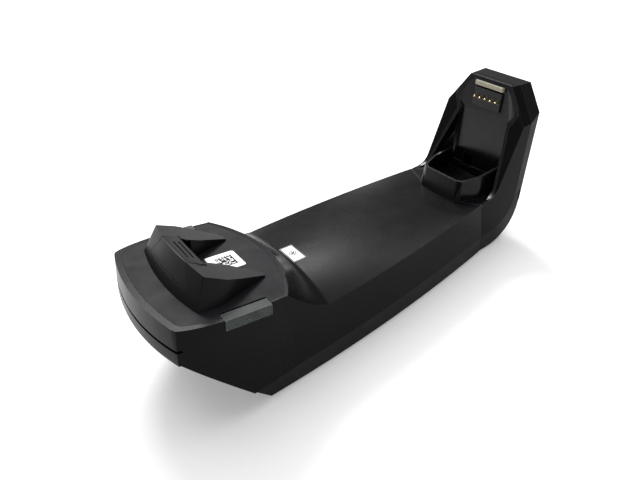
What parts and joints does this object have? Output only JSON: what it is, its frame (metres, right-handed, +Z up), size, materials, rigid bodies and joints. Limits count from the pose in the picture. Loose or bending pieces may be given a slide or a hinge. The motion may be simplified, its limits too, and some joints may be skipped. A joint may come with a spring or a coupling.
{
  "type": "barcode scanner charging cradle",
  "caption": "Desk cradle that holds, charges and pairs a cordless handheld barcode scanner, with a raised nose, sprung catches and contacts.",
  "frame": {"origin": "on the desk, under the middle of the cradle's outline", "axes": "+X from the raised nose towards the upright with the charging bay, +Y to the side, +Z up"},
  "size_m": [0.2132, 0.0762, 0.076],
  "materials": {
    "housing_black": "fine satin moulded black",
    "cover_black": "fine matt moulded black, a little lighter",
    "foot_rubber": "matt",
    "screw_steel": "zinc plated",
    "insert_brass": "plain",
    "ballast_steel": "grey primer",
    "board_green": "solder resist",
    "chip_black": "matt",
    "can_metal": "plain",
    "port_plastic": "matt",
    "gold_contact": "gold plated",
    "pin_metal": "polished",
    "nose_black": "fine grained moulded black",
    "nest_black": "fine grained moulded black",
    "tab_black": "satin moulded black",
    "spring_steel": "spring wire",
    "catch_grey": "fine textured dark grey",
    "label_white": "printed film with a pattern of black dots",
    "lens_white": "milky, with a fine pattern of dots",
    "frame_black": "gloss black",
    "liner_black": "smooth moulded black",
    "block_black": "matt",
    "bar_cream": "milky cream",
    "ribbon_grey": "flat cable"
  },
  "bodies": {
    "cradle": {"top_housing": "housing_black", "bottom_cover": "cover_black", "rubber_feet": "foot_rubber", "housing_screws": "screw_steel", "mount_inserts": "insert_brass", "ballast_plate": "ballast_steel", "ballast_screws": "screw_steel", "main_board": "board_green", "board_chips": "chip_black", "radio_can": "can_metal", "board_screws": "screw_steel", "host_port": "port_plastic", "host_port_contacts": "gold_contact", "power_inlet": "port_plastic", "power_inlet_pin": "pin_metal", "nose_plate": "nose_black", "nose_plate_screws": "screw_steel", "scanner_nest": "nest_black", "nest_screws": "screw_steel", "tab_pin": "pin_metal", "tab_spring": "spring_steel", "catch_spring_near": "spring_steel", "catch_spring_far": "spring_steel", "pairing_label": "label_white", "status_lens": "lens_white", "lens_frame": "frame_black", "bay_liner": "liner_black", "contact_board_screws": "screw_steel", "contact_block": "block_black", "contact_barrels": "gold_contact", "light_bar": "bar_cream", "contact_board": "board_green", "ribbon_cable": "ribbon_grey", "contact_spring_1": "spring_steel", "contact_spring_2": "spring_steel", "contact_spring_3": "spring_steel", "contact_spring_4": "spring_steel", "contact_spring_5": "spring_steel"},
    "release_tab": {"release_tab": "tab_black"},
    "side_catch_near": {"side_catch_near": "catch_grey"},
    "side_catch_far": {"side_catch_far": "catch_grey"},
    "contact_plunger_1": {"contact_plunger_1": "gold_contact"},
    "contact_plunger_2": {"contact_plunger_2": "gold_contact"},
    "contact_plunger_3": {"contact_plunger_3": "gold_contact"},
    "contact_plunger_4": {"contact_plunger_4": "gold_contact"},
    "contact_plunger_5": {"contact_plunger_5": "gold_contact"}
  },
  "joints": [
    {"name": "tab_hinge", "type": "hinge", "parent": "cradle", "child": "release_tab", "pos_m": [-0.08387, 0, 0.05777], "axis": [0, 1, 0], "range_deg": [0, 5], "stiffness_Nm_per_rad": 0.1, "springref_deg": -5.73, "deforming": ["tab_spring"]},
    {"name": "catch_slide_near", "type": "slide", "parent": "cradle", "child": "side_catch_near", "axis": [0, 1, 0], "range_m": [0, 0.0008], "stiffness_N_per_m": 500, "springref_m": -0.001, "deforming": ["catch_spring_near"]},
    {"name": "catch_slide_far", "type": "slide", "parent": "cradle", "child": "side_catch_far", "axis": [0, -1, 0], "range_m": [0, 0.0008], "stiffness_N_per_m": 500, "springref_m": -0.001, "deforming": ["catch_spring_far"]},
    {"name": "contact_slide_1", "type": "slide", "parent": "cradle", "child": "contact_plunger_1", "axis": [0.9593, 0, -0.2823], "range_m": [0, 0.0015], "stiffness_N_per_m": 400, "springref_m": -0.0005, "deforming": ["contact_spring_1"]},
    {"name": "contact_slide_2", "type": "slide", "parent": "cradle", "child": "contact_plunger_2", "axis": [0.9593, 0, -0.2823], "range_m": [0, 0.0015], "stiffness_N_per_m": 400, "springref_m": -0.0005, "deforming": ["contact_spring_2"]},
    {"name": "contact_slide_3", "type": "slide", "parent": "cradle", "child": "contact_plunger_3", "axis": [0.9593, 0, -0.2823], "range_m": [0, 0.0015], "stiffness_N_per_m": 400, "springref_m": -0.0005, "deforming": ["contact_spring_3"]},
    {"name": "contact_slide_4", "type": "slide", "parent": "cradle", "child": "contact_plunger_4", "axis": [0.9593, 0, -0.2823], "range_m": [0, 0.0015], "stiffness_N_per_m": 400, "springref_m": -0.0005, "deforming": ["contact_spring_4"]},
    {"name": "contact_slide_5", "type": "slide", "parent": "cradle", "child": "contact_plunger_5", "axis": [0.9593, 0, -0.2823], "range_m": [0, 0.0015], "stiffness_N_per_m": 400, "springref_m": -0.0005, "deforming": ["contact_spring_5"]}
  ]
}
